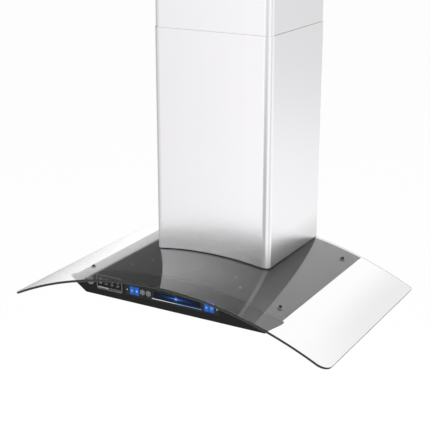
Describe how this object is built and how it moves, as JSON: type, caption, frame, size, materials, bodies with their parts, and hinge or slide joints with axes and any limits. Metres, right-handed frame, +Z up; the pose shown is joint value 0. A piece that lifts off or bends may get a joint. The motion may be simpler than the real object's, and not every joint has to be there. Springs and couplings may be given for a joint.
{
  "type": "wall chimney range hood",
  "caption": "Chimney range hood with a curved glass canopy, a slim black body with push keys and a lit display, a telescopic steel chimney and a centrifugal blower.",
  "frame": {"origin": "middle of the hood body's rear face, which lies on the wall, 40 mm above the underside of the body", "axes": "+Z up, +Y into the wall, -Y towards the cook, X across the hood"},
  "size_m": [0.9, 0.557, 1.0518],
  "materials": {
    "canopy_glass": "clear polished tempered glass",
    "brushed_steel": "fine brushed stainless steel",
    "bright_steel": "bright polished steel",
    "galvanised_steel": "galvanised sheet",
    "body_paint": "satin black powder coat",
    "front_black": "satin black front plate",
    "panel_black": "smoked glossy control panel",
    "display_lens": "dark clear lens over a blue display",
    "key_blue": "blue backlit key",
    "circuit_board": "green solder mask",
    "black_plastic": "moulded black plastic",
    "white_plastic": "moulded white plastic",
    "rubber": "matt black rubber",
    "lamp_lens": "frosted lamp lens",
    "aluminium": "plain cast or sheet aluminium"
  },
  "bodies": {
    "root": {"glass_canopy": "canopy_glass", "glass_screw_front_left": "bright_steel", "glass_pad_front_left": "rubber", "glass_screw_front_right": "bright_steel", "glass_pad_front_right": "rubber", "glass_screw_rear_left": "bright_steel", "glass_pad_rear_left": "rubber", "glass_screw_rear_right": "bright_steel", "glass_pad_rear_right": "rubber", "body_shell": "body_paint", "back_panel": "galvanised_steel", "underside_panel": "brushed_steel", "front_plate": "front_black", "control_panel": "panel_black", "clock_lens": "display_lens", "display_lens": "display_lens", "control_board": "circuit_board", "control_housing": "black_plastic", "lower_chimney_cover": "brushed_steel", "chimney_foot_seal": "rubber", "cover_clip_left": "galvanised_steel", "cover_clip_right": "galvanised_steel", "blower_box": "galvanised_steel", "blower_scroll": "black_plastic", "motor": "aluminium", "motor_bracket": "galvanised_steel", "duct_collar": "black_plastic", "damper_pin": "bright_steel", "lamp_housing_left": "bright_steel", "lamp_housing_right": "bright_steel", "lamp_lens_left": "lamp_lens", "lamp_lens_right": "lamp_lens", "junction_box": "black_plastic", "junction_box_lid": "white_plastic", "motor_capacitor": "white_plastic", "cable_gland": "black_plastic"},
    "upper_chimney": {"upper_chimney_cover": "brushed_steel", "upper_wall_bracket": "galvanised_steel", "bracket_screw_left": "bright_steel", "bracket_screw_right": "bright_steel"},
    "power_key": {"key_power": "key_blue"},
    "speed_down_key": {"key_speed_down": "key_blue"},
    "speed_up_key": {"key_speed_up": "key_blue"},
    "light_key": {"key_light": "key_blue"},
    "left_filter": {"filter_left": "brushed_steel"},
    "left_latch": {"filter_latch_left": "bright_steel"},
    "right_filter": {"filter_right": "brushed_steel"},
    "right_latch": {"filter_latch_right": "bright_steel"},
    "fan_rotor": {"impeller": "black_plastic", "motor_shaft": "bright_steel", "impeller_nut": "bright_steel"},
    "left_flap": {"damper_flap_left": "aluminium"},
    "right_flap": {"damper_flap_right": "aluminium"}
  },
  "joints": [
    {"name": "upper_chimney_slide", "type": "slide", "parent": "root", "child": "upper_chimney", "axis": [0, 0, 1], "range_m": [-0.33, 0.08]},
    {"name": "power_key_press", "type": "slide", "parent": "root", "child": "power_key", "axis": [0, 1, 0], "range_m": [0, 0.0008], "stiffness_N_per_m": 400, "springref_m": -0.0005},
    {"name": "speed_down_key_press", "type": "slide", "parent": "root", "child": "speed_down_key", "axis": [0, 1, 0], "range_m": [0, 0.0008], "stiffness_N_per_m": 400, "springref_m": -0.0005},
    {"name": "speed_up_key_press", "type": "slide", "parent": "root", "child": "speed_up_key", "axis": [0, 1, 0], "range_m": [0, 0.0008], "stiffness_N_per_m": 400, "springref_m": -0.0005},
    {"name": "light_key_press", "type": "slide", "parent": "root", "child": "light_key", "axis": [0, 1, 0], "range_m": [0, 0.0008], "stiffness_N_per_m": 400, "springref_m": -0.0005},
    {"name": "left_filter_swing", "type": "hinge", "parent": "root", "child": "left_filter", "pos_m": [0, -0.0455, -0.0395], "axis": [1, 0, 0], "range_deg": [0, 45]},
    {"name": "left_latch_slide", "type": "slide", "parent": "left_filter", "child": "left_latch", "axis": [0, 1, 0], "range_m": [0, 0.006], "stiffness_N_per_m": 300, "springref_m": -0.002},
    {"name": "right_filter_swing", "type": "hinge", "parent": "root", "child": "right_filter", "pos_m": [0, -0.0455, -0.0395], "axis": [1, 0, 0], "range_deg": [0, 45]},
    {"name": "right_latch_slide", "type": "slide", "parent": "right_filter", "child": "right_latch", "axis": [0, 1, 0], "range_m": [0, 0.006], "stiffness_N_per_m": 300, "springref_m": -0.002},
    {"name": "fan_spin", "type": "hinge", "parent": "root", "child": "fan_rotor", "pos_m": [0, -0.14175, 0.1715], "axis": [1, 0, 0], "continuous": true},
    {"name": "left_flap_swing", "type": "hinge", "parent": "root", "child": "left_flap", "pos_m": [0, -0.14175, 0.3278], "axis": [0, 1, 0], "range_deg": [0, 75]},
    {"name": "right_flap_swing", "type": "hinge", "parent": "root", "child": "right_flap", "pos_m": [0, -0.14175, 0.3278], "axis": [0, -1, 0], "range_deg": [0, 75]}
  ]
}
